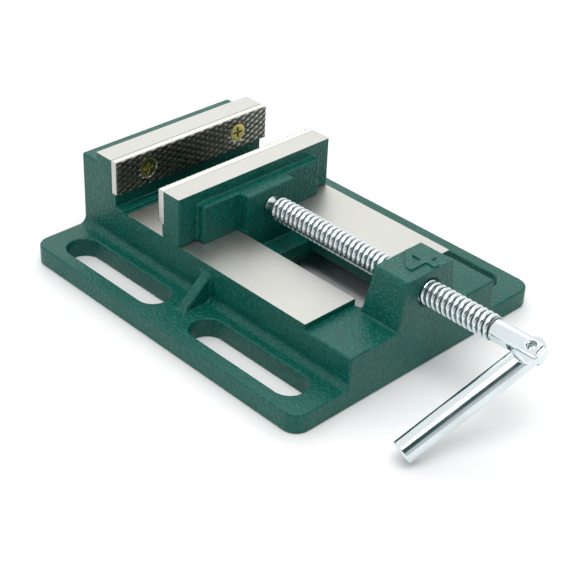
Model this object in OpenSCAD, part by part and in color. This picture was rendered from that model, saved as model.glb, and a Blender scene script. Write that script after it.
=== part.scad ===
// Drill-press machine vise with a folding handle.
// Origin at the centre of the underside. +Z up, the handle is toward -Y,
// the fixed jaw toward +Y, and the jaws close along Y.

/* [Base] */
// Width of the base across the slotted flanges
base_width = 162; // [158:1:176]
// Length of the base along the screw
base_length = 190; // [188:1:200]
// Thickness of the flanges
flange_height = 10.4; // [9:0.1:12]
// Corner radius of the base in plan
base_corner = 8; // [4:1:10]
// Width of the clamping slots
slot_width = 17; // [12:0.5:18]
// End-to-end length of the clamping slots
slot_length = 71.5; // [50:0.5:76]
// Spacing of the slot centres across the base
slot_gauge = 130; // [129:1:134]
// Spacing of the slot centres along the base
slot_spacing = 94; // [90:1:98]

/* [Rails] */
// Width across the outer walls of the rails
rail_width = 97.6; // [94:0.2:98]
// Height of the ground ways
way_height = 30; // [29:0.1:31]
// Width of the open channel between the rails
channel_width = 33.4; // [33:0.1:34]
// Front end of the ground ways
way_front = -66.2; // [-68:0.1:-64]

/* [Jaws] */
// Width of the jaws
jaw_width = 100; // [100:1:104]
// Height of the top of the jaws
jaw_top = 56.3; // [55:0.1:58]
// Thickness of the jaw plates
plate_thickness = 4.2; // [3.6:0.1:4.6]
// Grip face of the fixed jaw
fixed_face = 65.6; // [65:0.1:66]
// Opening between the plates as shown
opening = 31.6; // [24:0.1:36]
// Distance of the plate screws from the middle
plate_screw_x = 30; // [24:1:34]

/* [Screw] */
// Height of the screw axis
screw_height = 40.8; // [40:0.1:42]
// Diameter of the lead screw over the thread crests
thread_diameter = 12.4; // [11.8:0.1:12.6]
// Diameter of the plain fork end
fork_diameter = 10.4; // [10:0.1:11]
// Width of the slot in the fork end
fork_slot = 5.8; // [5.6:0.1:6]
// Distance from the pin to the jaw boss
pin_reach = 161.3; // [158:0.1:164]

/* [Handle] */
// Diameter of the handle
handle_diameter = 11.5; // [11:0.1:12]
// Length of the handle from the pin
handle_length = 71; // [60:1:72]
// Lean of the fork and the handle about the screw
handle_tilt = 31; // [24:1:31]
// Angle of the handle past square, toward the base
handle_fold = 15; // [8:1:16]

/* [Hidden] */
$fn = 72;
eps = 0.01;
half_base = base_length / 2;
half_rail = rail_width / 2;
half_channel = channel_width / 2;
half_jaw = jaw_width / 2;

// base casting
wall = 7.8;
end_wall = 8;
lip = 6;
lip_bottom = 13.2;
roof = 9;
shoulder_height = way_height - 3.2;
channel_front = -71;
channel_back = fixed_face + 0.9;
channel_corner = 5;
foot_fillet = 4;
gusset_thickness = 6;
gusset_top = 24.9;
gusset_reach = 65;
groove_front = 59.6;
groove_width = 3.4;
groove_depth = 1.8;

// screw boss on the base
boss_top = 51.8;
boss_half_top = 15.7;
boss_half_foot = 19.2;
boss_back_top = -75.3;
boss_back_foot = -72;
bore_clearance = 0.05;
bore_chamfer = 1.2;
numeral_height = 0.8;

// jaws
ledge_top = 38;
ledge_half = half_rail;
ledge_set_back = 2.9;
fixed_wall = 11.7;
fixed_rear_top = 50.3;
rear_end = half_base;
moving_face = fixed_face - opening;
moving_back = moving_face - plate_thickness;
moving_wall = 11.3;
tier_top = 50.2;
tier_half = 38.5;
tier_depth = 5;
nose_half = 15.7;
nose_depth = 5.9;
wall_front = moving_back - moving_wall;
tier_front = wall_front - tier_depth;
nose_front = tier_front - nose_depth;
slide_gap = 0.05;
tongue_gap = 0.3;
tongue_half = half_channel - tongue_gap;
tongue_bottom = lip_bottom - 0.1;
tongue_front = nose_front - 11.9;
tongue_front_top = 19.6;

// jaw plates and their screws
plate_screw_z = 47.2;
thread_hole = 2.5;
screw_shank = 2.45;
screw_head = 4.9;
head_recess = 0.2;
head_edge = 0.2;
head_clearance = 0.05;
shank_hole = 2.75;
shank_length = 14;
recess_depth = 1.6;
recess_reach = 2.9;
recess_width = 1.1;

// keeper under the moving jaw
keeper_half = 24;
keeper_thickness = 5;
keeper_front = tongue_front + 2.3;
keeper_back = moving_face - 3;
keeper_screw_front = keeper_front + 6;
keeper_screw_back = keeper_back - 6;
keeper_head = 4.6;
keeper_head_height = 3;
socket_radius = 2.3;
keeper_screw_depth = 6;

// lead screw
thread_radius = thread_diameter / 2;
fork_radius = fork_diameter / 2;
neck_radius = 4;
neck_start = nose_front - 4.2;
thread_start = nose_front - 6;
thread_end = nose_front - 141.1;
pin_y = nose_front - pin_reach;
fork_end = pin_y - 4.6;
fork_slot_start = pin_y + 10.6;
spigot_end = nose_front + 17.4;
ring_groove_y = nose_front + 6.4;
ring_groove_width = 3.2;
ring_groove_radius = 2.9;
retaining_radius = 1.5;
retaining_x = ring_groove_radius + retaining_radius + 0.05;
retaining_top = 48;
retaining_length = 30;

// handle and its pin
pin_radius = 2.34;
pin_hole = 2.36;
pin_dome = 0.7;
tongue_thickness = 5.2;
tongue_pin_hole = 2.42;
handle_radius = handle_diameter / 2;
handle_shoulder = 9;
shoulder_runout = 4;

// A box between two corners.
module block(low, high) {
    translate(low) cube(high - low);
}

// A box mirrored about the middle, between two heights and two stations along Y.
module centred_block(half, y_low, y_high, z_low, z_high) {
    block([-half, y_low, z_low], [half, y_high, z_high]);
}

// A flat outline in X and Z, drawn out along Y from y_low to y_high.
module along_y(y_low, y_high) {
    translate([0, y_high, 0]) rotate([90, 0, 0]) linear_extrude(y_high - y_low) children();
}

// A flat outline in Y and Z, drawn out along X about the middle.
module along_x(half) {
    translate([-half, 0, 0]) rotate([90, 0, 90]) linear_extrude(2 * half) children();
}

// Both sides of the vise.
module both_sides() {
    children();
    mirror([1, 0, 0]) children();
}

// A rounded rectangle in plan.
module rounded_plan(width, length, radius) {
    square([width - 2 * radius, length], center = true);
    square([width, length - 2 * radius], center = true);
    for (x = [-1, 1], y = [-1, 1])
        translate([x * (width / 2 - radius), y * (length / 2 - radius)]) circle(radius);
}

// One clamping slot in plan, running along Y.
module slot_plan() {
    reach = (slot_length - slot_width) / 2;
    square([slot_width, 2 * reach], center = true);
    for (y = [-1, 1]) translate([0, y * reach]) circle(slot_width / 2);
}

// The flanges with their four slots.
module flanges() {
    linear_extrude(flange_height) difference() {
        rounded_plan(base_width, base_length, base_corner);
        for (x = [-1, 1], y = [-1, 1])
            translate([x * slot_gauge / 2, y * slot_spacing / 2]) slot_plan();
    }
}

// Concave fillet where an outer wall meets the flange.
module foot_fillets() {
    both_sides() along_y(-half_base, rear_end) difference() {
        translate([half_rail - eps, flange_height - eps]) square(foot_fillet + eps);
        translate([half_rail + foot_fillet, flange_height + foot_fillet]) circle(foot_fillet);
    }
}

// One triangular gusset on each outer wall.
module gussets() {
    both_sides() along_y(-gusset_thickness / 2, gusset_thickness / 2)
        polygon([[half_rail - 1, flange_height - 1], [gusset_reach, flange_height - 1],
                 [gusset_reach, flange_height], [half_rail, gusset_top],
                 [half_rail - 1, gusset_top]]);
}

// The raised middle of the base, with the ground ways and the step in front of them.
module rail_block() {
    centred_block(half_rail, -half_base, rear_end, 0, shoulder_height);
    centred_block(half_rail, way_front, rear_end, 0, way_height);
}

// The jaw cast in one with the base.
module fixed_jaw() {
    ledge_y = fixed_face + ledge_set_back;
    back_y = fixed_face + plate_thickness;
    centred_block(half_rail, ledge_y, back_y + fixed_wall, way_height - 1, ledge_top);
    centred_block(half_jaw, back_y, back_y + fixed_wall, ledge_top, jaw_top);
    centred_block(half_rail, back_y, rear_end, way_height - 1, fixed_rear_top);
}

// The tapered boss that carries the thread.
module screw_boss() {
    foot = shoulder_height;
    intersection() {
        along_y(-half_base, boss_back_foot)
            polygon([[-boss_half_foot, foot - 1], [boss_half_foot, foot - 1],
                     [boss_half_foot, foot], [boss_half_top, boss_top],
                     [-boss_half_top, boss_top], [-boss_half_foot, foot]]);
        along_x(boss_half_foot)
            polygon([[-half_base, foot - 1], [boss_back_foot, foot - 1],
                     [boss_back_foot, foot], [boss_back_top, boss_top],
                     [-half_base, boss_top]]);
    }
}

// The raised size numeral on top of the boss: a stem, a bar and a diagonal.
module numeral() {
    stroke = 3.3;
    height = 18.4;
    stem_x = 2.9;
    bar_y = 5.2;
    left_x = -6.8;
    right_x = 10;
    middle_y = (-half_base + boss_back_top) / 2;
    translate([0, middle_y - height / 2, boss_top - eps])
        linear_extrude(numeral_height + eps) difference() {
            union() {
                translate([stem_x, 0]) square([stroke, height]);
                translate([left_x, bar_y]) square([right_x - left_x, stroke - 0.4]);
                polygon([[left_x, bar_y + stroke - 0.4], [left_x, bar_y + stroke + 0.2],
                         [stem_x, height], [stem_x + eps, bar_y + stroke - 0.4]]);
            }
            polygon([[left_x + 4.6, bar_y + stroke - 0.4 - eps],
                     [stem_x + eps, height - 4.7],
                     [stem_x + eps, bar_y + stroke - 0.4 - eps]]);
        }
}

// The open channel between the rails, rounded at its front corners.
module channel_cut() {
    length = channel_back - channel_front;
    translate([0, channel_front + length / 2, lip_bottom - 1])
        linear_extrude(way_height) rounded_plan(channel_width, length, channel_corner);
    centred_block(half_channel, channel_back - channel_corner - 1, channel_back,
                  lip_bottom - 1, way_height + eps);
}

// The hollow underside, open to the table.
module underside_cut() {
    inner = half_rail - wall;
    front = -half_base + end_wall;
    back = rear_end - end_wall;
    lip_x = half_channel + lip;
    centred_block(inner, front, back, -1, lip_bottom);
    both_sides() {
        block([lip_x, front, lip_bottom - 1], [inner, way_front, shoulder_height - roof]);
        block([lip_x, way_front, lip_bottom - 1], [inner, back, way_height - roof]);
    }
}

// Bore for the lead screw, with a lead-in at both mouths.
module boss_bore() {
    radius = thread_radius + bore_clearance;
    translate([0, 0, screw_height]) rotate([90, 0, 0]) {
        cylinder(r = radius, h = half_base + 1);
        translate([0, 0, half_base - bore_chamfer])
            cylinder(r1 = radius, r2 = radius + bore_chamfer + eps, h = bore_chamfer + eps);
    }
}

// Tapped holes behind a pair of plate screws. The heads face the way given.
module plate_holes(y_back, toward) {
    for (x = [-1, 1])
        translate([x * plate_screw_x, y_back, plate_screw_z])
            rotate([toward * 90, 0, 0]) cylinder(r = thread_hole, h = shank_length);
}

module base_casting() {
    color("darkslategray") difference() {
        union() {
            flanges();
            foot_fillets();
            gussets();
            rail_block();
            fixed_jaw();
            screw_boss();
            numeral();
        }
        channel_cut();
        underside_cut();
        boss_bore();
        centred_block(base_width, groove_front, groove_front + groove_width,
                      way_height - groove_depth, way_height + eps);
        plate_holes(fixed_face + plate_thickness - eps, -1);
    }
}

// A jaw plate whose grip face is at y_face and looks toward -Y (1) or +Y (-1).
module jaw_plate(y_face, toward) {
    mouth = screw_head + head_clearance + head_recess + head_edge;
    translate([0, y_face, 0]) mirror([0, toward < 0 ? 1 : 0, 0]) difference() {
        centred_block(half_jaw, 0, plate_thickness, ledge_top, jaw_top);
        for (x = [-1, 1])
            translate([x * plate_screw_x, 0, plate_screw_z]) rotate([-90, 0, 0]) {
                translate([0, 0, -1]) cylinder(r = shank_hole, h = plate_thickness + 2);
                translate([0, 0, -eps])
                    cylinder(r1 = mouth + eps, r2 = shank_hole, h = mouth - shank_hole + eps);
            }
    }
}

module fixed_jaw_plate() {
    color("silver") jaw_plate(fixed_face, 1);
}

module moving_jaw_plate() {
    color("silver") jaw_plate(moving_face, -1);
}

// A countersunk screw along +Y, its head just below y = 0, with a cross recess.
module plate_screw() {
    length = plate_thickness + shank_length - 2;
    cone_end = head_edge + screw_head - screw_shank;
    point = 0.8;
    translate([0, head_recess, 0]) difference() {
        rotate([-90, 0, 0]) rotate_extrude()
            polygon([[0, 0], [screw_head, 0], [screw_head, head_edge],
                     [screw_shank, cone_end], [screw_shank, length - point],
                     [screw_shank - point, length], [0, length]]);
        for (turn = [0, 90]) rotate([0, turn, 0])
            block([-recess_reach, -1, -recess_width / 2],
                  [recess_reach, recess_depth, recess_width / 2]);
    }
}

module fixed_plate_screws() {
    color("goldenrod") for (x = [-1, 1])
        translate([x * plate_screw_x, fixed_face, plate_screw_z]) plate_screw();
}

module moving_plate_screws() {
    color("goldenrod") for (x = [-1, 1])
        translate([x * plate_screw_x, moving_face, plate_screw_z])
            mirror([0, 1, 0]) plate_screw();
}

// The stepped body of the moving jaw.
module moving_jaw_body() {
    bottom = way_height + slide_gap;
    centred_block(half_jaw, wall_front, moving_back, bottom, jaw_top);
    centred_block(ledge_half, moving_back - 1, moving_face - 1, bottom, ledge_top);
    centred_block(tier_half, tier_front, wall_front + 1, bottom, tier_top);
    centred_block(nose_half, nose_front, tier_front + 1, tongue_bottom, tier_top);
    centred_block(tongue_half, nose_front, moving_face - 1, tongue_bottom, bottom + 1);
    centred_block(tongue_half, tongue_front, nose_front + 1, tongue_bottom, tongue_front_top);
}

module moving_jaw_casting() {
    color("darkslategray") difference() {
        moving_jaw_body();
        translate([0, nose_front - eps, screw_height]) rotate([-90, 0, 0])
            cylinder(r = neck_radius + bore_clearance, h = spigot_end - nose_front + 0.5);
        for (x = [-1, 1]) translate([x * retaining_x, ring_groove_y, tongue_bottom - 1])
            cylinder(r = retaining_radius + 0.02, h = retaining_top - tongue_bottom + 1);
        for (y = [keeper_screw_front, keeper_screw_back])
            translate([0, y, tongue_bottom - eps])
                cylinder(r = thread_hole, h = keeper_screw_depth);
        plate_holes(moving_back + eps, 1);
    }
}

module keeper_plate() {
    top = tongue_bottom;
    color("darkslategray") difference() {
        centred_block(keeper_half, keeper_front, keeper_back, top - keeper_thickness, top);
        for (y = [keeper_screw_front, keeper_screw_back])
            translate([0, y, top - keeper_thickness - 1])
                cylinder(r = thread_hole + 0.3, h = keeper_thickness + 2);
    }
}

// The two screws that hold the keeper from below, with hexagon sockets.
module keeper_screws() {
    seat = tongue_bottom - keeper_thickness;
    color("dimgray") for (y = [keeper_screw_front, keeper_screw_back])
        translate([0, y, seat]) difference() {
            union() {
                translate([0, 0, -keeper_head_height])
                    cylinder(r = keeper_head, h = keeper_head_height);
                cylinder(r = screw_shank, h = keeper_thickness + keeper_screw_depth - 0.5);
            }
            translate([0, 0, -keeper_head_height - 1])
                cylinder(r = socket_radius, h = 3, $fn = 6);
        }
}

// Two pins that stand in the groove of the spigot and keep the screw in the jaw.
module screw_retaining_pins() {
    color("gray") for (x = [-1, 1])
        translate([x * retaining_x, ring_groove_y, retaining_top - retaining_length - 0.5])
            cylinder(r = retaining_radius, h = retaining_length);
}

// Places a child drawn about the pin in the leaning plane of the fork.
module at_pin() {
    translate([0, pin_y, screw_height]) rotate([0, -handle_tilt, 0]) children();
}

// The turned outline of the lead screw, its axis along Y.
module screw_turning() {
    rise = thread_radius - neck_radius;
    groove_low = ring_groove_y - ring_groove_width / 2;
    groove_high = ring_groove_y + ring_groove_width / 2;
    translate([0, 0, screw_height]) rotate([-90, 0, 0]) rotate_extrude()
        polygon([[0, fork_end], [fork_radius - 0.5, fork_end],
                 [fork_radius, fork_end + 0.5], [fork_radius, thread_end - 1],
                 [thread_radius, thread_end], [thread_radius, neck_start - rise],
                 [neck_radius, neck_start], [neck_radius, groove_low],
                 [ring_groove_radius, groove_low], [ring_groove_radius, groove_high],
                 [neck_radius, groove_high], [neck_radius, spigot_end - 0.6],
                 [neck_radius - 0.6, spigot_end], [0, spigot_end]]);
}

module lead_screw() {
    color("lightsteelblue") difference() {
        screw_turning();
        at_pin() {
            centred_block(fork_diameter, fork_end - pin_y - 1, fork_slot_start - pin_y,
                          -fork_slot / 2, fork_slot / 2);
            translate([0, 0, -fork_diameter]) cylinder(r = pin_hole, h = 2 * fork_diameter);
        }
    }
}

// The pin across the fork, slightly domed at both ends.
module handle_pin() {
    end = fork_radius - 0.25;
    dome_radius = (pin_radius * pin_radius + pin_dome * pin_dome) / (2 * pin_dome);
    color("silver") at_pin() intersection() {
        translate([0, 0, -end - pin_dome])
            cylinder(r = pin_radius, h = 2 * (end + pin_dome));
        translate([0, 0, end + pin_dome - dome_radius]) sphere(dome_radius, $fn = 96);
        translate([0, 0, dome_radius - end - pin_dome]) sphere(dome_radius, $fn = 96);
    }
}

// The handle, drawn from the pin along -X, with a flat tongue that fills the fork slot.
module handle_blank() {
    rotate([0, -90, 0]) {
        cylinder(r = handle_radius, h = handle_length - 0.6);
        translate([0, 0, handle_length - 0.6])
            cylinder(r1 = handle_radius, r2 = handle_radius - 0.6, h = 0.6);
    }
    cylinder(r = handle_radius, h = tongue_thickness, center = true);
}

// The material milled off above the tongue, run out in a round corner.
module tongue_cut() {
    end = shoulder_runout - handle_shoulder;
    translate([0, 0, tongue_thickness / 2]) {
        block([end, -handle_diameter, 0], [handle_diameter, handle_diameter, handle_diameter]);
        block([-handle_shoulder, -handle_diameter, shoulder_runout],
              [end + 1, handle_diameter, handle_diameter]);
        translate([end, 0, shoulder_runout]) rotate([90, 0, 0])
            cylinder(r = shoulder_runout, h = 2 * handle_diameter, center = true);
    }
}

module handle_bar() {
    color("lightsteelblue") at_pin() rotate([0, 0, -handle_fold]) difference() {
        handle_blank();
        tongue_cut();
        mirror([0, 0, 1]) tongue_cut();
        cylinder(r = tongue_pin_hole, h = handle_diameter, center = true);
    }
}

base_casting();
fixed_jaw_plate();
fixed_plate_screws();
moving_jaw_casting();
moving_jaw_plate();
moving_plate_screws();
keeper_plate();
keeper_screws();
screw_retaining_pins();
lead_screw();
handle_pin();
handle_bar();
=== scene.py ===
"""Looks of a drill-press machine vise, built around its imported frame."""

from math import cos, pi, radians, sin, tau

import bmesh
import bpy
from bpy.props import FloatProperty, FloatVectorProperty, IntProperty, PointerProperty
from mathutils import Matrix, Vector


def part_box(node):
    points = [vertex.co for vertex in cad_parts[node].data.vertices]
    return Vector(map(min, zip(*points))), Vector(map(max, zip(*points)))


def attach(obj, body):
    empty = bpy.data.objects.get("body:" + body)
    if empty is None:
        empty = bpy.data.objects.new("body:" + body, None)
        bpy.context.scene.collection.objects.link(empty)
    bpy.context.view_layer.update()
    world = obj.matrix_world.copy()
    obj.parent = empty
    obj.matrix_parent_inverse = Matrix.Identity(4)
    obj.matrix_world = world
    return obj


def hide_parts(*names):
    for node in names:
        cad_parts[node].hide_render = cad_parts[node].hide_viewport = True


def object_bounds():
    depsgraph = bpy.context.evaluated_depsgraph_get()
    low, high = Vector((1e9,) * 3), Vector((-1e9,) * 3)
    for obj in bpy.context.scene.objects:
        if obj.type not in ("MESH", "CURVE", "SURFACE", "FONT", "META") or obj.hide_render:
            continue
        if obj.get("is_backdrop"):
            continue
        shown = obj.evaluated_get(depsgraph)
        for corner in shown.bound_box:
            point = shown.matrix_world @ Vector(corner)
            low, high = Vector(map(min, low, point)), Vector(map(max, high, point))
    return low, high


bl_info = {
    "name": "Machine vise looks",
    "version": (1, 0, 0),
    "blender": (4, 5, 0),
    "location": "3D View > Sidebar > Vise",
    "description": "Builds the visual pieces of a drill-press machine vise",
    "category": "Object",
}

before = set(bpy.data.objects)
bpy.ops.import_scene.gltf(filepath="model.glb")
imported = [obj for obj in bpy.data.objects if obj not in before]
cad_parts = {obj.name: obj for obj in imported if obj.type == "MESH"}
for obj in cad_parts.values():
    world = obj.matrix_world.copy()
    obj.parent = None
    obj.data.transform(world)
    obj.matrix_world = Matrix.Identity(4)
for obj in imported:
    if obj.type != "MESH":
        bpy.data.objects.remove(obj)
CAD_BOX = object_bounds()

X, Y, Z = 0, 1, 2
MM = 0.001

# Places of a piece's finishes in its list of materials
GROUND = 1
THREADED = 1
# The second place on a jaw plate holds painted shade for the knurl facets that turn away from the
# light
PLAIN, SHADED_FACETS = 0, 1

# How meshes are read and rounded
MERGED = 0.002 * MM
FLAT_ANGLE = radians(0.4)
SHARP_ANGLE = radians(22)
IN_LINE = 0.9
SHARE_OF_NEIGHBOUR = 0.42
LEVEL = 0.99

# Colours that the settings leave alone, many of them a pair that is mixed in patches
# Painted shade for the knurl facets that turn away from the light
KNURL_PAINTED_SHADE = (0.06, 0.07, 0.05), (0.13, 0.14, 0.11)
# Painted shade down in the root of the thread
THREAD_ROOT_SHADE = (0.10, 0.13, 0.13), (0.22, 0.26, 0.26)
GREEN_ZINC = (0.36, 0.44, 0.16)
BLACK_OXIDE = (0.02, 0.02, 0.022), (0.05, 0.05, 0.05)
FLOOR = (0.93, 0.93, 0.93), (0.95, 0.95, 0.95)
WALL = (1.0, 1.0, 1.0)
WALL_IN_FRONT = (0.6, 0.6, 0.6)
DARK_ROOM = (0.03, 0.075, 0.08)


# ---------------------------------------------------------------- sizes and colours


class CastingLooks(bpy.types.PropertyGroup):
    """Shape and paint of the castings."""

    edge_radius: FloatProperty(
        name="Edge radius", description="Rounding of the cast edges and corners",
        default=1.1 * MM, unit="LENGTH")
    ground_edge: FloatProperty(
        name="Ground edge", description="Rounding left on the ground edges",
        default=0.2 * MM, unit="LENGTH")
    numeral_edge: FloatProperty(
        name="Numeral edge", description="Rounding of the edges of and beside the raised numeral",
        default=0.22 * MM, unit="LENGTH")
    boss_half: FloatProperty(
        name="Boss half", description="Half the width of the screw boss at its top",
        default=15.7 * MM, unit="LENGTH")
    boss_top: FloatProperty(
        name="Boss top", description="Height of the screw boss under its numeral",
        default=51.8 * MM, unit="LENGTH")
    way_height: FloatProperty(
        name="Way height", description="Height of the ground ways",
        default=30 * MM, unit="LENGTH")
    ways_end: FloatProperty(
        name="Ways end", description="Place along Y where the ground ways end",
        default=59.6 * MM, unit="LENGTH")
    screw_edge: FloatProperty(
        name="Screw edge", description="Rounding of the edges of the keeper's screws",
        default=0.4 * MM, unit="LENGTH")
    pin_edge: FloatProperty(
        name="Pin edge", description="Rounding of the edges of the retaining pins",
        default=0.3 * MM, unit="LENGTH")
    paint: FloatVectorProperty(
        name="Paint", description="Colour of the textured paint",
        default=(0.0, 0.084, 0.062), subtype="COLOR", size=3)
    # Lighter colour on the tops of the grains: a painted highlight on the paint's texture
    paint_grain_highlight: FloatVectorProperty(
        name="Paint on the grain", description="Colour of the paint on top of its grain",
        default=(0.001, 0.132, 0.107), subtype="COLOR", size=3)
    grain: FloatProperty(
        name="Grain", description="Grains of the paint texture per metre",
        default=640.0)


class ScrewLooks(bpy.types.PropertyGroup):
    """Shape and plating of the lead screw and the handle."""

    pitch: FloatProperty(
        name="Pitch", description="Pitch of the thread", default=3 * MM, unit="LENGTH")
    depth: FloatProperty(
        name="Depth", description="Depth of the thread", default=1.25 * MM, unit="LENGTH")
    roundness: FloatProperty(
        name="Roundness", description="How soon the thread rises to its crest, 1 for a sine",
        default=0.55, subtype="FACTOR")
    thread_front: FloatProperty(
        name="Thread front", description="Place along Y where the thread ends at the fork",
        default=-133.4 * MM, unit="LENGTH")
    thread_back: FloatProperty(
        name="Thread back", description="Place along Y where the thread ends at the jaw",
        default=2.6 * MM, unit="LENGTH")
    neck: FloatProperty(
        name="Neck", description="Radius of the neck next to the thread",
        default=3.4 * MM, unit="LENGTH")
    shoulder: FloatProperty(
        name="Shoulder", description="Radius of the shoulder that pushes the jaw",
        default=4.8 * MM, unit="LENGTH")
    shoulder_place: FloatProperty(
        name="Shoulder place", description="Place along Y where the shoulder meets the jaw",
        default=7.45 * MM, unit="LENGTH")
    neck_gap: FloatProperty(
        name="Neck gap", description="Plain length between the thread and the neck",
        default=0.8 * MM, unit="LENGTH")
    fork_gap: FloatProperty(
        name="Fork gap", description="Plain length between the fork and the thread",
        default=1.2 * MM, unit="LENGTH")
    spigot: FloatProperty(
        name="Spigot", description="Radius of the spigot in the jaw",
        default=4 * MM, unit="LENGTH")
    pin_groove: FloatProperty(
        name="Pin groove", description="Radius of the bottom of the groove for the pins",
        default=2.9 * MM, unit="LENGTH")
    chamfer: FloatProperty(
        name="Chamfer", description="Chamfer of the spigot and length of the shoulder's rim",
        default=0.6 * MM, unit="LENGTH")
    fork_edge: FloatProperty(
        name="Fork edge", description="Rounding of the edges of the fork",
        default=0.3 * MM, unit="LENGTH")
    handle_edge: FloatProperty(
        name="Handle edge", description="Rounding of the edges of the handle and its pin",
        default=0.35 * MM, unit="LENGTH")
    steps: IntProperty(
        name="Steps", description="Steps of the thread in one turn", default=40, min=12)
    plating: FloatVectorProperty(
        name="Plating", description="Colour of the bright zinc plating",
        default=(0.76, 0.83, 0.85), subtype="COLOR", size=3)


class PlateLooks(bpy.types.PropertyGroup):
    """Shape and finish of the jaw plates and their screws."""

    diamond: FloatProperty(
        name="Diamond", description="Width of one diamond of the knurl",
        default=6.3 * MM, unit="LENGTH")
    squash: FloatProperty(
        name="Squash", description="Height of a diamond over its width",
        default=0.51, subtype="FACTOR")
    relief: FloatProperty(
        name="Relief", description="Depth of the knurl", default=0.5 * MM, unit="LENGTH")
    groove: FloatProperty(
        name="Groove", description="Width of one side of a groove of the knurl",
        default=0.8 * MM, unit="LENGTH")
    margin: FloatProperty(
        name="Margin", description="Plain rim round the knurl",
        default=0.3 * MM, unit="LENGTH")
    edge_radius: FloatProperty(
        name="Plate edge", description="Rounding of the edges of the plates",
        default=0.35 * MM, unit="LENGTH")
    head_gap: FloatProperty(
        name="Head gap", description="Gap round the head of a screw in the knurl",
        default=0.45 * MM, unit="LENGTH")
    holes_under: FloatProperty(
        name="Holes under", description="Edges shorter than this belong to holes and stay crisp",
        default=2 * MM, unit="LENGTH")
    screw_edge: FloatProperty(
        name="Screw edge", description="Rounding of the edges of the plate screws",
        default=0.25 * MM, unit="LENGTH")
    steel: FloatVectorProperty(
        name="Ground steel", description="Colour of the ground steel",
        default=(0.74, 0.735, 0.70), subtype="COLOR", size=3)
    brass: FloatVectorProperty(
        name="Yellow zinc", description="Colour of the yellow zinc on the screws",
        default=(0.62, 0.46, 0.17), subtype="COLOR", size=3)


class StageLooks(bpy.types.PropertyGroup):
    """Floor, light and camera."""

    floor_size: FloatProperty(
        name="Floor size", description="Side of the floor", default=6.0, unit="LENGTH")
    camera_place: FloatVectorProperty(
        name="Camera place", description="Where the camera stands",
        default=(-0.4197, -0.4230, 0.3853), subtype="TRANSLATION", size=3)
    camera_turn: FloatVectorProperty(
        name="Camera turn", description="Azimuth, elevation and roll of the camera",
        default=(radians(-45.2), radians(33.17), radians(2.615)), subtype="EULER", size=3)
    lens: FloatProperty(
        name="Lens", description="Focal length", default=88.46, unit="CAMERA")


# ---------------------------------------------------------------- mesh helpers


def low(node, axis):
    """Lowest place of a node along an axis."""
    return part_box(node)[0][axis]


def high(node, axis):
    """Highest place of a node along an axis."""
    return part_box(node)[1][axis]


def screw_axis():
    """A point on the axis of the lead screw."""
    return Vector((0, 0, (low("lead_screw", Z) + high("lead_screw", Z)) / 2))


def merged_copy(node):
    """A node's own shape as one closed mesh, its flat areas joined."""
    bm = bmesh.new()
    bm.from_mesh(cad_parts[node].data)
    bmesh.ops.remove_doubles(bm, verts=bm.verts, dist=MERGED)
    bmesh.ops.dissolve_limit(bm, angle_limit=FLAT_ANGLE, verts=bm.verts, edges=bm.edges)
    return bm


def is_sharp(edge):
    """Whether two faces meet here at an edge, not on a curve."""
    return len(edge.link_faces) == 2 and edge.calc_face_angle() > SHARP_ANGLE


def direction(edge, vert):
    """The way an edge leaves a vertex."""
    return (edge.other_vert(vert).co - vert.co).normalized()


def room_beside(edge):
    """The shortest edge that meets this one at an angle."""
    room = 1.0
    for vert in edge.verts:
        own = direction(edge, vert)
        for other in vert.link_edges:
            if other is not edge and abs(own.dot(direction(other, vert))) < IN_LINE:
                room = min(room, other.calc_length())
    return room


def next_in_line(edge, sharp):
    """Sharp edges that carry this one on without a corner."""
    for vert in edge.verts:
        own = direction(edge, vert)
        for other in vert.link_edges:
            carries_on = own.dot(direction(other, vert)) < -IN_LINE
            if other in sharp and other is not edge and carries_on:
                yield other


def round_edges(bm, radius, wanted=lambda edge: 1.0):
    """Writes how far each sharp edge is to be rounded. Edges in one line get the same."""
    layer = bm.edges.layers.float.new("bevel_weight_edge")
    sharp = {edge for edge in bm.edges if is_sharp(edge)}
    waiting = set(sharp)
    while waiting:
        line = {waiting.pop()}
        ends = list(line)
        while ends:
            for edge in next_in_line(ends.pop(), sharp):
                if edge not in line:
                    line.add(edge)
                    ends.append(edge)
        waiting -= line
        width = min(min(radius, wanted(edge), SHARE_OF_NEIGHBOUR * room_beside(edge))
                    for edge in line)
        for edge in line:
            edge[layer] = width / radius


def finish(bm, name, node, body, materials, radius, segments=3):
    """Makes the object that stands for a node, rounds its marked edges and seats it on its body."""
    mesh = bpy.data.meshes.new(name)
    for face in bm.faces:
        face.smooth = True
    bm.to_mesh(mesh)
    bm.free()
    piece = bpy.data.objects.new(name, mesh)
    bpy.context.scene.collection.objects.link(piece)
    for material in materials:
        mesh.materials.append(material)
    rounding = piece.modifiers.new("Rounded edges", "BEVEL")
    rounding.limit_method = "WEIGHT"
    rounding.width = radius
    rounding.segments = segments
    rounding.use_clamp_overlap = False
    rounding.loop_slide = False
    shading = piece.modifiers.new("Flat faces shade flat", "WEIGHTED_NORMAL")
    shading.keep_sharp = False
    shading.weight = 90
    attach(piece, body)
    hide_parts(node)


def plain_piece(name, node, body, material, radius, segments=3):
    """A piece of one finish whose shape is its node's own, with its edges rounded."""
    bm = merged_copy(node)
    round_edges(bm, radius)
    finish(bm, name, node, body, [material_named(material)], radius, segments)


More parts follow.
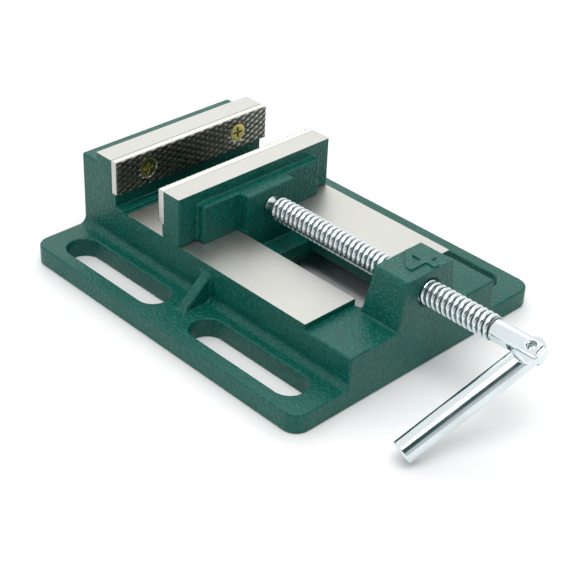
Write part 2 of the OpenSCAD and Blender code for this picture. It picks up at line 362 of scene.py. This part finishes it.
def less(bm, cutter):
    """The first shape less the second. Both are used up and a new one is given back."""
    pair = []
    for shape in (bm, cutter):
        mesh = bpy.data.meshes.new("cut")
        shape.to_mesh(mesh)
        shape.free()
        pair.append(bpy.data.objects.new("cut", mesh))
        bpy.context.scene.collection.objects.link(pair[-1])
    cut = pair[0].modifiers.new("Cut", "BOOLEAN")
    cut.operation = "DIFFERENCE"
    cut.solver = "EXACT"
    cut.object = pair[1]
    graph = bpy.context.evaluated_depsgraph_get()
    result = bpy.data.meshes.new_from_object(pair[0].evaluated_get(graph))
    made = bmesh.new()
    made.from_mesh(result)
    bpy.data.meshes.remove(result)
    for piece in pair:
        mesh = piece.data
        bpy.data.objects.remove(piece)
        bpy.data.meshes.remove(mesh)
    return made


def rod_along_y(radius, middle, length, segments=48):
    """A closed cylinder along Y about a point."""
    bm = bmesh.new()
    lay = Matrix.Translation(middle) @ Matrix.Rotation(radians(-90), 4, "X")
    bmesh.ops.create_cone(bm, cap_ends=True, segments=segments, radius1=radius,
                          radius2=radius, depth=length, matrix=lay)
    return bm


def join(bm, other):
    """Adds a second shape to the first."""
    mesh = bpy.data.meshes.new("joined")
    other.to_mesh(mesh)
    other.free()
    bm.from_mesh(mesh)
    bpy.data.meshes.remove(mesh)


def turned(outline, axis, segments):
    """A closed round body turned from an outline of places along Y and radii."""
    bm = bmesh.new()
    verts = [bm.verts.new((0, place, axis.z + radius)) for place, radius in outline]
    edges = [bm.edges.new(pair) for pair in zip(verts, verts[1:])]
    bmesh.ops.spin(bm, geom=verts + edges, cent=axis, axis=(0, 1, 0),
                   angle=tau, steps=segments, use_merge=True)
    bmesh.ops.remove_doubles(bm, verts=bm.verts, dist=0.001 * MM)
    bmesh.ops.recalc_face_normals(bm, faces=bm.faces)
    return bm


# ---------------------------------------------------------------- shader groups


def shader_group(name, inputs, outputs):
    """An empty node group with named number inputs and outputs."""
    group = bpy.data.node_groups.new(name, "ShaderNodeTree")
    for label, default in inputs:
        socket = group.interface.new_socket(label, in_out="INPUT", socket_type="NodeSocketFloat")
        socket.default_value = default
    for label in outputs:
        group.interface.new_socket(label, in_out="OUTPUT", socket_type="NodeSocketFloat")
    source = group.nodes.new("NodeGroupInput")
    sink = group.nodes.new("NodeGroupOutput")
    return group, source, sink


def math_node(tree, operation, first, second):
    """A math node fed by sockets or plain numbers."""
    node = tree.nodes.new("ShaderNodeMath")
    node.operation = operation
    for socket, value in zip(node.inputs, (first, second)):
        if isinstance(value, bpy.types.NodeSocket):
            tree.links.new(value, socket)
        else:
            socket.default_value = value
    return node.outputs[0]


def vector_node(tree, operation, first, second):
    """A vector math node of a socket and three plain numbers."""
    node = tree.nodes.new("ShaderNodeVectorMath")
    node.operation = operation
    tree.links.new(first, node.inputs[0])
    node.inputs[1].default_value = second
    return node


def ramp(tree, source, start, end):
    """Spreads a stretch of a value over 0 to 1."""
    node = tree.nodes.new("ShaderNodeMapRange")
    node.interpolation_type = "SMOOTHSTEP"
    node.inputs["From Min"].default_value = start
    node.inputs["From Max"].default_value = end
    tree.links.new(source, node.inputs["Value"])
    return node.outputs["Result"]


def noise(tree, place, scale, detail=3.0, roughness=0.5):
    """A noise texture read at a place."""
    node = tree.nodes.new("ShaderNodeTexNoise")
    tree.links.new(place, node.inputs["Vector"])
    if isinstance(scale, bpy.types.NodeSocket):
        tree.links.new(scale, node.inputs["Scale"])
    else:
        node.inputs["Scale"].default_value = scale
    node.inputs["Detail"].default_value = detail
    node.inputs["Roughness"].default_value = roughness
    return node.outputs["Fac"]


def object_place(tree):
    """The place on the object's own surface."""
    return tree.nodes.new("ShaderNodeTexCoord").outputs["Object"]


def cast_grain_group():
    """Rounded grains of a textured paint: a mask of their tops and their height."""
    group, source, sink = shader_group("Cast grain", [("Grains", 640.0)], ["Tops", "Height"])
    place = object_place(group)
    cells = group.nodes.new("ShaderNodeTexVoronoi")
    cells.feature = "SMOOTH_F1"
    cells.inputs["Smoothness"].default_value = 0.6
    warp = noise(group, place, 260.0, 2.0)
    shifted = vector_node(group, "MULTIPLY_ADD", warp, (3 * MM, 3 * MM, 3 * MM))
    group.links.new(place, shifted.inputs[2])
    group.links.new(shifted.outputs[0], cells.inputs["Vector"])
    group.links.new(source.outputs["Grains"], cells.inputs["Scale"])
    tops = ramp(group, cells.outputs["Distance"], 0.62, 0.12)
    fine = noise(group, place, 1900.0, 2.0)
    height = math_node(group, "ADD", tops, math_node(group, "MULTIPLY", fine, 0.35))
    group.links.new(tops, sink.inputs["Tops"])
    group.links.new(height, sink.inputs["Height"])
    return group


def lines_group():
    """Fine lines that a grinding wheel, a lathe or a wire brush leaves along one axis."""
    group, source, sink = shader_group(
        "Working lines", [("Across X", 40.0), ("Across Y", 3000.0), ("Across Z", 3000.0)],
        ["Shade", "Height"])
    scales = group.nodes.new("ShaderNodeCombineXYZ")
    for socket, label in zip(scales.inputs, ("Across X", "Across Y", "Across Z")):
        group.links.new(source.outputs[label], socket)
    stretched = group.nodes.new("ShaderNodeVectorMath")
    stretched.operation = "MULTIPLY"
    group.links.new(object_place(group), stretched.inputs[0])
    group.links.new(scales.outputs[0], stretched.inputs[1])
    lines = noise(group, stretched.outputs[0], 1.0, 4.0, 0.65)
    group.links.new(ramp(group, lines, 0.3, 0.7), sink.inputs["Shade"])
    group.links.new(lines, sink.inputs["Height"])
    return group


def smudge_group():
    """Wide soft patches of handling and oil."""
    group, source, sink = shader_group("Smudges", [("Size", 30.0)], ["Patch"])
    patches = noise(group, object_place(group), source.outputs["Size"], 5.0, 0.6)
    group.links.new(ramp(group, patches, 0.35, 0.7), sink.inputs["Patch"])
    return group


GROUP_MAKERS = {
    "Cast grain": cast_grain_group,
    "Working lines": lines_group,
    "Smudges": smudge_group,
}


def add_group(tree, name, **values):
    """Places a shared group in a material with its own values."""
    node = tree.nodes.new("ShaderNodeGroup")
    node.node_tree = bpy.data.node_groups.get(name) or GROUP_MAKERS[name]()
    for label, value in values.items():
        node.inputs[label.replace("_", " ")].default_value = value
    return node.outputs


def mixed_colour(tree, mask, first, second):
    """Two colours mixed by a mask."""
    node = tree.nodes.new("ShaderNodeMix")
    node.data_type = "RGBA"
    tree.links.new(mask, node.inputs["Factor"])
    for label, colour in (("A", first), ("B", second)):
        socket = next(s for s in node.inputs if s.name == label and s.type == "RGBA")
        if isinstance(colour, bpy.types.NodeSocket):
            tree.links.new(colour, socket)
        else:
            socket.default_value = (*colour, 1.0)
    return next(s for s in node.outputs if s.type == "RGBA")


def blank_material(name, **values):
    """A material whose shader has these plain values. Gives back the material, tree and shader."""
    material = bpy.data.materials.new(name)
    material.use_nodes = True
    tree = material.node_tree
    shader = tree.nodes["Principled BSDF"]
    for label, value in values.items():
        shader.inputs[label.replace("_", " ")].default_value = value
    return material, tree, shader


def feed(tree, shader, colour, roughness=None, height=None, strength=1.0, distance=0.1 * MM):
    """Links what varies over the surface to the shader."""
    tree.links.new(colour, shader.inputs["Base Color"])
    if roughness is not None:
        tree.links.new(roughness, shader.inputs["Roughness"])
    if height is not None:
        bump = tree.nodes.new("ShaderNodeBump")
        bump.inputs["Strength"].default_value = strength
        bump.inputs["Distance"].default_value = distance
        tree.links.new(height, bump.inputs["Height"])
        tree.links.new(bump.outputs["Normal"], shader.inputs["Normal"])


def between(tree, mask, start, end):
    """A value that goes from start to end with a mask."""
    node = tree.nodes.new("ShaderNodeMapRange")
    node.inputs["To Min"].default_value = start
    node.inputs["To Max"].default_value = end
    tree.links.new(mask, node.inputs["Value"])
    return node.outputs["Result"]


# ---------------------------------------------------------------- materials


def shade_of(colour, share):
    """A colour darkened to this share of itself."""
    return tuple(share * part for part in colour)


def paint_material():
    """Green textured enamel on cast iron."""
    looks = bpy.context.scene.casting_looks
    material, tree, shader = blank_material("Green textured paint", IOR=1.38)
    grain = add_group(tree, "Cast grain", Grains=looks.grain)
    smudges = add_group(tree, "Smudges", Size=22.0)
    # The grain's tops get the lighter colour as a painted highlight; the grain's bump is real
    body = mixed_colour(tree, grain["Tops"], looks.paint, looks.paint_grain_highlight)
    colour = mixed_colour(tree, between(tree, smudges["Patch"], 0.0, 0.25), body, looks.paint)
    feed(tree, shader, colour, between(tree, smudges["Patch"], 0.34, 0.46),
         grain["Height"], strength=0.8, distance=0.2 * MM)
    return material


def ground_material():
    """Steel or iron ground flat, with fine lines along the ways."""
    looks = bpy.context.scene.plate_looks
    material, tree, shader = blank_material("Ground metal", Metallic=1.0)
    lines = add_group(tree, "Working lines", Across_X=2600.0, Across_Y=26.0, Across_Z=2600.0)
    smudges = add_group(tree, "Smudges", Size=16.0)
    light = shade_of(looks.steel, 0.74)
    dark = shade_of(looks.steel, 0.62)
    lined = mixed_colour(tree, lines["Shade"], dark, light)
    colour = mixed_colour(tree, between(tree, smudges["Patch"], 0.0, 0.6), lined, light)
    feed(tree, shader, colour, between(tree, lines["Shade"], 0.40, 0.52),
         lines["Height"], strength=0.12, distance=0.05 * MM)
    return material


def plate_material():
    """Hardened steel of the jaw plates, with lines along the jaw."""
    looks = bpy.context.scene.plate_looks
    material, tree, shader = blank_material("Plate steel", Metallic=1.0)
    lines = add_group(tree, "Working lines", Across_X=22.0, Across_Y=2400.0, Across_Z=2400.0)
    smudges = add_group(tree, "Smudges", Size=40.0)
    dark = shade_of(looks.steel, 0.68)
    light = shade_of(looks.steel, 0.82)
    colour = mixed_colour(tree, lines["Shade"], dark, light)
    feed(tree, shader, colour, between(tree, smudges["Patch"], 0.26, 0.4),
         lines["Height"], strength=0.12, distance=0.05 * MM)
    return material


def knurl_shade_material():
    """Painted shade on the knurl facets of the grip faces that turn away from the light, mixed in
    patches.
    """
    material, tree, shader = blank_material("Knurl painted shade", Metallic=1.0)
    smudges = add_group(tree, "Smudges", Size=260.0)
    colour = mixed_colour(tree, smudges["Patch"], *KNURL_PAINTED_SHADE)
    lines = add_group(tree, "Working lines", Across_X=900.0, Across_Y=900.0, Across_Z=900.0)
    feed(tree, shader, colour, between(tree, smudges["Patch"], 0.38, 0.5),
         lines["Height"], strength=0.12, distance=0.05 * MM)
    return material


def zinc_material():
    """Bright blue-white zinc plating with faint turning lines."""
    looks = bpy.context.scene.screw_looks
    material, tree, shader = blank_material("Bright zinc", Metallic=1.0)
    lines = add_group(tree, "Working lines", Across_X=60.0, Across_Y=1500.0, Across_Z=60.0)
    smudges = add_group(tree, "Smudges", Size=70.0)
    dull = shade_of(looks.plating, 0.9)
    colour = mixed_colour(tree, smudges["Patch"], looks.plating, dull)
    feed(tree, shader, colour, between(tree, smudges["Patch"], 0.12, 0.22),
         lines["Height"], strength=0.06, distance=0.04 * MM)
    return material


def threaded_zinc_material():
    """Bright zinc on the crests of the thread, painted shade down in its root."""
    looks = bpy.context.scene.screw_looks
    material, tree, shader = blank_material("Threaded zinc", Metallic=1.0)
    axis = screw_axis()
    crest = high("lead_screw", Z) - axis.z
    centred = vector_node(tree, "SUBTRACT", object_place(tree), axis)
    across = vector_node(tree, "MULTIPLY", centred.outputs[0], (1, 0, 1))
    arm = tree.nodes.new("ShaderNodeVectorMath")
    arm.operation = "LENGTH"
    tree.links.new(across.outputs[0], arm.inputs[0])
    crest_mask = ramp(tree, arm.outputs["Value"], crest - 0.8 * looks.depth, crest - 0.2 * looks.depth)
    smudges = add_group(tree, "Smudges", Size=160.0)
    # Painted shade for the root of the thread, mixed in patches; the mask above makes it darker
    # towards the root
    root_shade = mixed_colour(tree, smudges["Patch"], *THREAD_ROOT_SHADE)
    colour = mixed_colour(tree, crest_mask, root_shade, looks.plating)
    feed(tree, shader, colour, between(tree, crest_mask, 0.45, 0.17))
    return material


def yellow_zinc_material():
    """Yellow passivated zinc, shifting between gold and green."""
    looks = bpy.context.scene.plate_looks
    material, tree, shader = blank_material("Yellow zinc", Metallic=1.0)
    smudges = add_group(tree, "Smudges", Size=420.0)
    colour = mixed_colour(tree, smudges["Patch"], looks.brass, GREEN_ZINC)
    lines = add_group(tree, "Working lines", Across_X=900.0, Across_Y=900.0, Across_Z=900.0)
    feed(tree, shader, colour, between(tree, lines["Shade"], 0.2, 0.34),
         lines["Height"], strength=0.08, distance=0.04 * MM)
    return material


def black_oxide_material():
    """Black oxide on the keeper's screws."""
    material, tree, shader = blank_material("Black oxide", Metallic=0.7)
    smudges = add_group(tree, "Smudges", Size=300.0)
    colour = mixed_colour(tree, smudges["Patch"], *BLACK_OXIDE)
    lines = add_group(tree, "Working lines", Across_X=1200.0, Across_Y=1200.0, Across_Z=200.0)
    feed(tree, shader, colour, between(tree, smudges["Patch"], 0.35, 0.5),
         lines["Height"], strength=0.1, distance=0.05 * MM)
    return material


MATERIAL_MAKERS = {
    "Green textured paint": paint_material,
    "Ground metal": ground_material,
    "Plate steel": plate_material,
    "Knurl painted shade": knurl_shade_material,
    "Bright zinc": zinc_material,
    "Threaded zinc": threaded_zinc_material,
    "Yellow zinc": yellow_zinc_material,
    "Black oxide": black_oxide_material,
}


def material_named(name):
    """A material, made when it is first asked for."""
    return bpy.data.materials.get(name) or MATERIAL_MAKERS[name]()


# ---------------------------------------------------------------- the pieces


def mark_ground(bm, height, y_end):
    """Gives the level faces at this height, short of y_end, the ground finish."""
    for face in bm.faces:
        middle = face.calc_center_median()
        level = face.normal.z > LEVEL and abs(middle.z - height) < 0.02 * MM
        if level and middle.y < y_end:
            face.material_index = GROUND


def softness(edge):
    """Ground faces end crisply. Everything else on a casting is soft."""
    looks = bpy.context.scene.casting_looks
    beside_ground = any(face.material_index == GROUND for face in edge.link_faces)
    return looks.ground_edge if beside_ground else looks.edge_radius


def casting(name, node, body, mark=lambda bm: None, wanted=softness):
    """A painted casting with its ground faces."""
    looks = bpy.context.scene.casting_looks
    bm = merged_copy(node)
    mark(bm)
    round_edges(bm, looks.edge_radius, wanted)
    materials = [material_named("Green textured paint"), material_named("Ground metal")]
    finish(bm, name, node, body, materials, looks.edge_radius)


class VISE_OT_base(bpy.types.Operator):
    """Base casting with its ways, fixed jaw and screw boss"""

    bl_idname = "vise.base"
    bl_label = "Base casting"

    def execute(self, context):
        looks = context.scene.casting_looks
        axis = screw_axis()
        near = 1.4 * (axis.z - low("lead_screw", Z))

        def mark(bm):
            mark_ground(bm, looks.way_height, looks.ways_end)
            mark_ground(bm, high("base_casting", Z), high("base_casting", Y))

        def wanted(edge):
            middle = (edge.verts[0].co + edge.verts[1].co) / 2
            if Vector((middle.x, middle.z - axis.z)).length < near:
                return looks.ground_edge
            at_boss_top = -0.1 * MM < middle.z - looks.boss_top < MM
            beside_numeral = at_boss_top and abs(middle.x) < 0.95 * looks.boss_half
            return looks.numeral_edge if beside_numeral else softness(edge)

        casting("look_base_casting", "base_casting", "base", mark, wanted)
        return {"FINISHED"}


class VISE_OT_moving_jaw(bpy.types.Operator):
    """Moving jaw with its tongue"""

    bl_idname = "vise.moving_jaw"
    bl_label = "Moving jaw"

    def execute(self, context):
        def mark(bm):
            mark_ground(bm, high("moving_jaw_casting", Z), high("moving_jaw_casting", Y))

        casting("look_moving_jaw", "moving_jaw_casting", "moving_jaw", mark)
        return {"FINISHED"}


class VISE_OT_keeper(bpy.types.Operator):
    """Keeper under the rails and its two screws"""

    bl_idname = "vise.keeper"
    bl_label = "Keeper and screws"

    def execute(self, context):
        casting("look_keeper", "keeper_plate", "moving_jaw")
        plain_piece("look_keeper_screws", "keeper_screws", "moving_jaw",
                    "Black oxide", context.scene.casting_looks.screw_edge)
        return {"FINISHED"}


def diamonds(looks, width, height, outward):
    """Raised diamonds lying in the XY plane, enough to cover a plate of this size."""
    bm = bmesh.new()
    count = int(max(width, height) / looks.diamond + 1)
    turn = Matrix.Rotation(radians(45), 4, "Z")
    side = looks.diamond / 2 ** 0.5
    bmesh.ops.create_grid(bm, x_segments=2 * count, y_segments=2 * count, size=count,
                          matrix=turn)
    bmesh.ops.transform(bm, matrix=Matrix.Diagonal((side, side * looks.squash, 1, 1)),
                        verts=bm.verts)
    far = []
    for face in bm.faces:
        middle = face.calc_center_median()
        too_wide = abs(middle.x) > width / 2 + looks.diamond
        if too_wide or abs(middle.y) > height / 2 + looks.diamond:
            far.append(face)
    bmesh.ops.delete(bm, geom=far, context="FACES")
    bmesh.ops.inset_individual(bm, faces=list(bm.faces), thickness=looks.groove,
                               depth=looks.relief)
    bm.normal_update()
    for face in bm.faces:
        # Facets turned toward the light keep the plain bright steel; all other facets, pad tops
        # included, get painted shade
        facing_the_light = face.normal.y > 0.1 and face.normal.x * outward > 0.02
        face.material_index = PLAIN if facing_the_light else SHADED_FACETS
    return bm


def keep_below(bm, axis, place, side):
    """Cuts away what lies past a place along an axis, on the side -1 or 1."""
    normal = Vector((0, 0, 0))
    normal[axis] = side
    point = Vector((0, 0, 0))
    point[axis] = place
    everything = list(bm.verts) + list(bm.edges) + list(bm.faces)
    bmesh.ops.bisect_plane(bm, geom=everything, plane_co=point, plane_no=normal,
                           clear_outer=True)


def knurl(looks, across, up, face_y, outward):
    """The knurl of a grip face as a thin closed slab."""
    bm = diamonds(looks, across[1] - across[0], up[1] - up[0], outward)
    stand = Matrix.Rotation(radians(90), 4, "X")
    if outward > 0:
        stand = Matrix.Rotation(pi, 4, "Z") @ stand
    middle = Vector(((across[0] + across[1]) / 2, face_y - outward * looks.relief,
                     (up[0] + up[1]) / 2))
    bmesh.ops.transform(bm, matrix=Matrix.Translation(middle) @ stand, verts=bm.verts)
    for axis, ends in ((X, across), (Z, up)):
        for place, side in zip(ends, (-1, 1)):
            keep_below(bm, axis, place, side)
    back = face_y - outward * 3 * looks.relief
    rim = [edge for edge in bm.edges if edge.is_boundary]
    for grown in bmesh.ops.extrude_edge_only(bm, edges=rim)["geom"]:
        if isinstance(grown, bmesh.types.BMVert):
            grown.co.y = back
    bmesh.ops.holes_fill(bm, edges=[edge for edge in bm.edges if edge.is_boundary], sides=0)
    bmesh.ops.recalc_face_normals(bm, faces=bm.faces)
    return bm


def jaw_plate(name, node, screws, body, outward):
    """A ground plate with a knurled grip face that looks along Y, outward -1 or 1."""
    looks = bpy.context.scene.plate_looks
    hair = 0.05 * MM
    face_y = high(node, Y) if outward > 0 else low(node, Y)
    bm = merged_copy(node)
    for vert in bm.verts:
        if abs(vert.co.y - face_y) < hair:
            vert.co.y -= outward * (looks.relief + hair)
    round_edges(bm, looks.edge_radius)
    layer = bm.edges.layers.float["bevel_weight_edge"]
    for edge in bm.edges:
        if edge.calc_length() < looks.holes_under:
            edge[layer] = 0
    across = (low(node, X) + looks.margin, high(node, X) - looks.margin)
    up = (low(node, Z) + looks.margin, high(node, Z) - looks.margin)
    skin = knurl(looks, across, up, face_y, outward)
    height = (low(screws, Z) + high(screws, Z)) / 2
    head = (high(screws, Z) - low(screws, Z)) / 2
    reach = high(screws, X) - head
    for side in (-reach, reach):
        hole = rod_along_y(head + looks.head_gap, Vector((side, face_y, height)), 10 * MM)
        skin = less(skin, hole)
    join(bm, skin)
    # The second material is painted shade on the knurl facets that turn away from the light
    materials = [material_named("Plate steel"), material_named("Knurl painted shade")]
    finish(bm, name, node, body, materials, looks.edge_radius, 2)


class VISE_OT_jaw_plates(bpy.types.Operator):
    """Both jaw plates with their knurled grip faces"""

    bl_idname = "vise.jaw_plates"
    bl_label = "Jaw plates"

    def execute(self, context):
        jaw_plate("look_fixed_plate", "fixed_jaw_plate", "fixed_plate_screws", "base", -1)
        jaw_plate("look_moving_plate", "moving_jaw_plate", "moving_plate_screws",
                  "moving_jaw", 1)
        return {"FINISHED"}


class VISE_OT_plate_screws(bpy.types.Operator):
    """Countersunk screws of the jaw plates"""

    bl_idname = "vise.plate_screws"
    bl_label = "Plate screws"

    def execute(self, context):
        for name, node, body in (
            ("look_fixed_plate_screws", "fixed_plate_screws", "base"),
            ("look_moving_plate_screws", "moving_plate_screws", "moving_jaw"),
        ):
            plain_piece(name, node, body, "Yellow zinc",
                        context.scene.plate_looks.screw_edge, 2)
        return {"FINISHED"}


class VISE_OT_retaining_pins(bpy.types.Operator):
    """Pins that keep the lead screw in the moving jaw"""

    bl_idname = "vise.retaining_pins"
    bl_label = "Retaining pins"

    def execute(self, context):
        plain_piece("look_retaining_pins", "screw_retaining_pins", "moving_jaw",
                    "Plate steel", context.scene.casting_looks.pin_edge)
        return {"FINISHED"}


def thread_outline(looks, crest, root):
    """Places along Y and radii over one crest of the thread, closed below its root."""
    points = 10
    buried = root - 0.4 * MM
    outline = [(-looks.pitch / 2, buried)]
    for index in range(points + 1):
        share = index / points
        rise = sin(pi * share) ** looks.roundness if 0 < share < 1 else 0.0
        outline.append((looks.pitch * (share - 0.5), root + (crest - root) * rise))
    outline.append((looks.pitch / 2, buried))
    return outline


def thread_ridge(looks, crest, root, axis):
    """The ridge of the thread, run along the screw as a helix and thinned at both ends."""
    runout = 1.3 * MM
    gone = root - 0.3 * MM
    start = looks.thread_front - looks.pitch
    turns = (looks.thread_back - looks.thread_front) / looks.pitch + 1.5
    bm = bmesh.new()
    profile = bm.faces.new([bm.verts.new((0, start + place, axis.z + radius))
                            for place, radius in thread_outline(looks, crest, root)])
    geom = [profile] + list(profile.edges) + list(profile.verts)
    bmesh.ops.spin(bm, geom=geom, cent=axis, axis=(0, 1, 0), angle=tau * turns,
                   dvec=(0, looks.pitch / looks.steps, 0), steps=int(looks.steps * turns))
    bmesh.ops.remove_doubles(bm, verts=bm.verts, dist=0.001 * MM)
    for vert in bm.verts:
        inside = min(vert.co.y - looks.thread_front, looks.thread_back - vert.co.y)
        limit = gone + (crest - gone) * max(0.0, min(1.0, inside / runout))
        arm = Vector((vert.co.x, 0, vert.co.z - axis.z))
        if arm.length > limit:
            arm *= limit / arm.length
            vert.co.x, vert.co.z = arm.x, arm.z + axis.z
        vert.co.y = max(looks.thread_front, min(looks.thread_back, vert.co.y))
    bmesh.ops.recalc_face_normals(bm, faces=bm.faces)
    for face in bm.faces:
        face.material_index = THREADED
    return bm


def fork(looks, fork_end):
    """The fork end of the screw, cut off where the plain round body takes over."""
    bm = merged_copy("lead_screw")
    everything = list(bm.verts) + list(bm.edges) + list(bm.faces)
    cut = bmesh.ops.bisect_plane(bm, geom=everything, plane_co=(0, fork_end, 0),
                                 plane_no=(0, 1, 0), clear_outer=True)["geom_cut"]
    rim = [edge for edge in cut if isinstance(edge, bmesh.types.BMEdge)]
    bmesh.ops.edgeloop_fill(bm, edges=rim)
    round_edges(bm, looks.fork_edge)
    return bm


def screw_core(looks, root, axis, fork_end):
    """The round body under the thread, with the neck, the shoulder and the spigot."""
    front = fork_end - 1 * MM
    neck = looks.thread_back + looks.neck_gap
    shoulder = looks.shoulder_place
    groove = (low("screw_retaining_pins", Y), high("screw_retaining_pins", Y))
    tip = high("lead_screw", Y)
    outline = [
        (front, 0),
        (front, root),
        (neck - (root - looks.neck), root),
        (neck, looks.neck),
        (shoulder - looks.chamfer, looks.shoulder),
        (shoulder, looks.shoulder - 0.1 * MM),
        (shoulder, looks.spigot),
        (groove[0], looks.spigot),
        (groove[0], looks.pin_groove),
        (groove[1], looks.pin_groove),
        (groove[1], looks.spigot),
        (tip - looks.chamfer, looks.spigot),
        (tip, looks.spigot - looks.chamfer),
        (tip, 0),
    ]
    return turned(outline, axis, 64)


class VISE_OT_lead_screw(bpy.types.Operator):
    """Lead screw with its real thread, the fork end and the spigot"""

    bl_idname = "vise.lead_screw"
    bl_label = "Lead screw"

    def execute(self, context):
        looks = context.scene.screw_looks
        axis = screw_axis()
        crest = high("lead_screw", Z) - axis.z
        root = crest - looks.depth
        fork_end = looks.thread_front - looks.fork_gap
        bm = fork(looks, fork_end)
        join(bm, screw_core(looks, root, axis, fork_end))
        join(bm, thread_ridge(looks, crest, root, axis))
        materials = [material_named("Bright zinc"), material_named("Threaded zinc")]
        finish(bm, "look_lead_screw", "lead_screw", "screw", materials,
               looks.fork_edge, 2)
        return {"FINISHED"}


class VISE_OT_handle(bpy.types.Operator):
    """Handle and the pin it folds on"""

    bl_idname = "vise.handle"
    bl_label = "Handle and pin"

    def execute(self, context):
        for name, node, body in (
            ("look_handle_bar", "handle_bar", "handle"),
            ("look_handle_pin", "handle_pin", "screw"),
        ):
            plain_piece(name, node, body, "Bright zinc",
                        context.scene.screw_looks.handle_edge)
        return {"FINISHED"}


# ---------------------------------------------------------------- the stage


def floor_material():
    """Plain pale studio floor."""
    material, tree, shader = blank_material("Pale floor", Roughness=0.6)
    shade = ramp(tree, noise(tree, object_place(tree), 3.0), 0.3, 0.7)
    feed(tree, shader, mixed_colour(tree, shade, *FLOOR))
    return material


def studio_world():
    """Soft white surroundings with the dark of the room in front."""
    world = bpy.data.worlds.new("Studio")
    world.use_nodes = True
    tree = world.node_tree
    background = tree.nodes["Background"]
    place = tree.nodes.new("ShaderNodeTexCoord").outputs["Generated"]
    ahead = Vector((-0.35, -0.94, 0.0)).normalized()
    facing = vector_node(tree, "DOT_PRODUCT", place, ahead)
    front = ramp(tree, facing.outputs["Value"], 0.15, 0.5)
    level = tree.nodes.new("ShaderNodeSeparateXYZ")
    tree.links.new(place, level.inputs[0])
    above = ramp(tree, level.outputs["Z"], 0.36, 0.5)
    below = ramp(tree, level.outputs["Z"], 0.86, 0.76)
    room = math_node(tree, "MULTIPLY", front, math_node(tree, "MULTIPLY", above, below))
    wall = mixed_colour(tree, front, WALL, WALL_IN_FRONT)
    colour = mixed_colour(tree, room, wall, DARK_ROOM)
    tree.links.new(colour, background.inputs["Color"])
    background.inputs["Strength"].default_value = 1.0
    bpy.context.scene.view_settings.view_transform = "Standard"
    bpy.context.scene.world = world


def soft_light(name, place, size, power):
    """A square area light that looks at the vise."""
    lamp = bpy.data.lights.new(name, "AREA")
    lamp.shape = "SQUARE"
    lamp.size = size
    lamp.energy = power
    light = bpy.data.objects.new(name, lamp)
    light.location = place
    light.rotation_euler = (-Vector(place)).to_track_quat("-Z", "Y").to_euler()
    bpy.context.scene.collection.objects.link(light)
    light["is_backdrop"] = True


class VISE_OT_stage(bpy.types.Operator):
    """Pale floor, soft light and camera"""

    bl_idname = "vise.stage"
    bl_label = "Stage"

    def execute(self, context):
        looks = context.scene.stage_looks
        bm = bmesh.new()
        bmesh.ops.create_grid(bm, x_segments=1, y_segments=1, size=looks.floor_size / 2)
        mesh = bpy.data.meshes.new("floor")
        bm.to_mesh(mesh)
        bm.free()
        mesh.materials.append(floor_material())
        floor = bpy.data.objects.new("floor", mesh)
        context.scene.collection.objects.link(floor)
        floor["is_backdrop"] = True

        azimuth, elevation, roll = looks.camera_turn
        back = Vector((sin(azimuth) * cos(elevation), -cos(azimuth) * cos(elevation),
                       sin(elevation)))
        level = Vector((cos(azimuth), sin(azimuth), 0))
        upright = back.cross(level)
        right = cos(roll) * level + sin(roll) * upright
        up = cos(roll) * upright - sin(roll) * level
        camera = bpy.data.objects.new("camera", bpy.data.cameras.new("camera"))
        camera.data.lens = looks.lens
        camera.data.sensor_width = 36
        camera.data.clip_end = 10
        turn = Matrix((right, up, back)).transposed().to_4x4()
        camera.matrix_world = Matrix.Translation(looks.camera_place) @ turn
        context.scene.collection.objects.link(camera)
        context.scene.camera = camera

        studio_world()
        soft_light("key light", (0.75, 0.95, 1.0), size=1.2, power=4)
        soft_light("top light", (-0.3, -0.4, 1.5), size=1.0, power=10)
        return {"FINISHED"}


# ---------------------------------------------------------------- add-on parts


class VISE_PT_panel(bpy.types.Panel):
    """Lists the pieces of the vise"""

    bl_label = "Machine vise"
    bl_idname = "VISE_PT_panel"
    bl_space_type = "VIEW_3D"
    bl_region_type = "UI"
    bl_category = "Vise"

    def draw(self, context):
        for operator in OPERATORS:
            self.layout.operator(operator.bl_idname)
        for name in LOOKS:
            looks = getattr(context.scene, name)
            box = self.layout.box()
            for label in looks.__annotations__:
                box.prop(looks, label)


LOOKS = {
    "casting_looks": CastingLooks,
    "screw_looks": ScrewLooks,
    "plate_looks": PlateLooks,
    "stage_looks": StageLooks,
}

OPERATORS = (
    VISE_OT_base,
    VISE_OT_moving_jaw,
    VISE_OT_keeper,
    VISE_OT_jaw_plates,
    VISE_OT_plate_screws,
    VISE_OT_retaining_pins,
    VISE_OT_lead_screw,
    VISE_OT_handle,
    VISE_OT_stage,
)


def register():
    """Registers the settings, operators and panel."""
    for name, group in LOOKS.items():
        bpy.utils.register_class(group)
        setattr(bpy.types.Scene, name, PointerProperty(type=group))
    for operator in OPERATORS:
        bpy.utils.register_class(operator)
    bpy.utils.register_class(VISE_PT_panel)


def unregister():
    """Takes back what register did."""
    bpy.utils.unregister_class(VISE_PT_panel)
    for operator in reversed(OPERATORS):
        bpy.utils.unregister_class(operator)
    for name, group in LOOKS.items():
        delattr(bpy.types.Scene, name)
        bpy.utils.unregister_class(group)


def main():
    """Builds every piece and the stage."""
    register()
    for operator in OPERATORS:
        group, name = operator.bl_idname.split(".")
        getattr(getattr(bpy.ops, group), name)()
    boxes = {"cad": CAD_BOX, "visual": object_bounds()}
    sizes = {name: [list(map(float, corner)) for corner in box] for name, box in boxes.items()}


if __name__ == "__main__":
    main()
